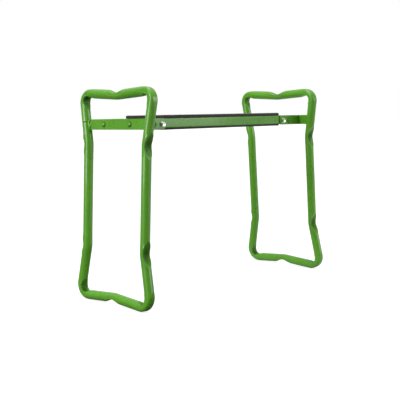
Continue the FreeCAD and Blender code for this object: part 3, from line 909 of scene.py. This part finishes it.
def foam():
    """Closed-cell foam with a fine moulded skin."""
    skin = Finish("closed_cell_foam", 0.7, Sheen_Weight=0.25, Sheen_Roughness=0.4)
    drift = skin.ramp(skin.noise(24, 4), (0.3, FOAM_DEEP), (0.7, FOAM_LIGHT))
    pores = skin.ramp(skin.cells(900), (0.12, (0.62, 0.62, 0.62)), (0.4, (1.0, 1.0, 1.0)))
    color = skin.mix(1.0, drift, pores, "MULTIPLY")
    rough = skin.span(skin.noise(220, 3), 0.6, 0.85)
    skin.bump(skin.noise(60, 3), 0.0004, 0.3)
    skin.bump(skin.cells(900), 0.00018, 0.6)
    skin.bump(skin.noise(2200, 2), 0.00006, 0.5)
    return skin.finish(color, rough)


def give(obj, material):
    obj.data.materials.clear()
    obj.data.materials.append(material)


def dress_node(node, material, edge=0.0):
    """Gives a CAD node its finish, and breaks its sharp edges with modifiers."""
    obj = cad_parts[node]
    give(obj, material)
    if edge:
        weld = obj.modifiers.new("weld", "WELD")
        weld.merge_threshold = NODE_WELD_GAP
        flats = obj.modifiers.new("join_flats", "DECIMATE")
        flats.decimate_type = "DISSOLVE"
        flats.angle_limit = math.radians(NODE_FLAT_DEGREES)
        bevel = obj.modifiers.new("break_edges", "BEVEL")
        bevel.width = edge
        bevel.segments = 2
        bevel.limit_method = "ANGLE"
        bevel.angle_limit = math.radians(NODE_BEVEL_DEGREES)
        bevel.harden_normals = True


# =================================================================================================
# studio
# =================================================================================================
def hang(light, direction, place=(0, 0, 0)):
    """Puts a light in the scene, shining from a direction."""
    obj = bpy.data.objects.new(light.name, light)
    obj.location = place
    obj.rotation_mode = "QUATERNION"
    obj.rotation_quaternion = Vector(direction).to_track_quat("Z", "Y")
    bpy.context.scene.collection.objects.link(obj)
    return obj


def floor():
    bpy.ops.mesh.primitive_circle_add(vertices=96, radius=FLOOR_RADIUS, fill_type="TRIFAN")
    disc = bpy.context.object
    disc.name = "floor"
    pale = Finish("pale_floor", 0.7, Specular_IOR_Level=0.0)
    seen = pale.ramp(pale.noise(3, 2), (0.3, FLOOR_SEEN[0]), (0.7, FLOOR_SEEN[1]))
    path = pale.tree.nodes.new("ShaderNodeLightPath").outputs["Is Camera Ray"]
    glow = pale.span(path, 0.0, FLOOR_GLOW, 0.0, 1.0)
    pale.tree.links.new(glow, pale.shader.inputs["Emission Strength"])
    pale.shader.inputs["Emission Color"].default_value = (1, 1, 1, 1)
    split = pale.tree.nodes.new("ShaderNodeSeparateXYZ")
    pale.tree.links.new(pale.place, split.inputs[0])
    rightward = pale.span(split.outputs["X"], 0.0, 1.0, *FLOOR_BOUNCE_SPAN)
    bounce = pale.mix(rightward, FLOOR_BOUNCE_LEFT, FLOOR_BOUNCE_RIGHT)
    give(disc, pale.finish(pale.mix(path, bounce, seen)))


def surroundings():
    """White to the camera; to everything else, brighter towards WORLD_BRIGHT_SIDE."""
    world = bpy.data.worlds.new("studio")
    bpy.context.scene.world = world
    world.use_nodes = True
    tree = world.node_tree
    tree.nodes.clear()
    output = tree.nodes.new("ShaderNodeOutputWorld")
    seen = tree.nodes.new("ShaderNodeBackground")
    seen.inputs["Color"].default_value = (1, 1, 1, 1)
    seen.inputs["Strength"].default_value = 1.0
    fill = tree.nodes.new("ShaderNodeBackground")
    fill.inputs["Strength"].default_value = WORLD_FILL
    mix = tree.nodes.new("ShaderNodeMixShader")
    path = tree.nodes.new("ShaderNodeLightPath")
    tree.links.new(path.outputs["Is Camera Ray"], mix.inputs["Fac"])
    tree.links.new(fill.outputs[0], mix.inputs[1])
    tree.links.new(seen.outputs[0], mix.inputs[2])
    tree.links.new(mix.outputs[0], output.inputs["Surface"])
    coordinate = tree.nodes.new("ShaderNodeTexCoord")
    toward = tree.nodes.new("ShaderNodeVectorMath")
    toward.operation = "DOT_PRODUCT"
    toward.inputs[1].default_value = WORLD_BRIGHT_SIDE
    tree.links.new(coordinate.outputs["Generated"], toward.inputs[0])
    ramp = tree.nodes.new("ShaderNodeValToRGB")
    stops = ramp.color_ramp.elements
    while len(stops) < len(WORLD_STOPS):
        stops.new(0.5)
    for stop, (position, level) in zip(stops, WORLD_STOPS):
        stop.position = position
        stop.color = (level, level, level, 1)
    shift = tree.nodes.new("ShaderNodeMapRange")
    shift.inputs["From Min"].default_value = -1
    tree.links.new(toward.outputs["Value"], shift.inputs["Value"])
    tree.links.new(shift.outputs["Result"], ramp.inputs["Fac"])
    tree.links.new(ramp.outputs["Color"], fill.inputs["Color"])


def lights():
    for name, direction, strength, spread in SUNS:
        sun = bpy.data.lights.new(name, "SUN")
        sun.energy = strength
        sun.angle = math.radians(spread)
        hang(sun, direction)
    for name, place, aim, size, watts in SOFTBOXES:
        softbox = bpy.data.lights.new(name, "AREA")
        softbox.shape = "RECTANGLE"
        softbox.size, softbox.size_y = size
        softbox.energy = watts
        hang(softbox, Vector(place) - Vector(aim), place).visible_camera = False


def camera():
    lens = bpy.data.cameras.new("camera")
    lens.sensor_width = 36
    lens.lens = 36 * FOCAL_LENGTHS_PER_FRAME
    lens.clip_start = 0.05
    lens.clip_end = 100
    forward = Vector((math.sin(CAMERA_YAW) * math.cos(CAMERA_PITCH),
                      math.cos(CAMERA_YAW) * math.cos(CAMERA_PITCH), -math.sin(CAMERA_PITCH)))
    right = Vector((math.cos(CAMERA_YAW), -math.sin(CAMERA_YAW), 0))
    up = right.cross(forward)
    cos, sin = math.cos(CAMERA_ROLL), math.sin(CAMERA_ROLL)
    turned_right = right * cos + up * sin
    turned_up = up * cos - right * sin
    obj = bpy.data.objects.new("camera", lens)
    turn = Matrix((turned_right, turned_up, -forward)).transposed()
    obj.matrix_world = Matrix.Translation(CAMERA_PLACE) @ turn.to_4x4()
    bpy.context.scene.collection.objects.link(obj)
    bpy.context.scene.camera = obj


# =================================================================================================
# the whole scene
# =================================================================================================
camera()
floor()
surroundings()
lights()
bpy.context.scene.view_settings.view_transform = "Standard"

coat = powder_coat("green_powder_coat", False)
dented_coat = powder_coat("green_powder_coat_on_tube", True)
plated = zinc()
sheet_steel = galvanised()
white_nylon = nylon()
pad_foam = foam()

for side_name in SIDES:
    give(leg_tube(side_name), dented_coat)
    give(weld_beads(side_name), coat)
    give(pivot_bolts(side_name), plated)
    give(pivot_nuts(side_name), plated)
    dress_node("crossbar_" + side_name, coat, 0.4 * MM)
    dress_node("hinge_bracket_" + side_name, coat, 0.4 * MM)
    give(crossbar_rivets(side_name), dented_coat)
    give(stop_pins(side_name), dented_coat)
    dress_node("pivot_washers_" + side_name, plated, 0.2 * MM)
    dress_node("pivot_spacers_" + side_name, white_nylon, 0.3 * MM)
    dress_node("hinge_plate_back_" + side_name, coat, 0.3 * MM)
    dress_node("hinge_plate_front_" + side_name, coat, 0.3 * MM)
    dress_node("seat_end_rail_" + side_name, coat)
dress_node("seat_rail_back", coat)
dress_node("seat_rail_front", coat)
dress_node("seat_pan", sheet_steel)
give(pad("foam_pad_top", "pad_top", 1), pad_foam)
give(pad("foam_pad_bottom", "pad_bottom", -1), pad_foam)
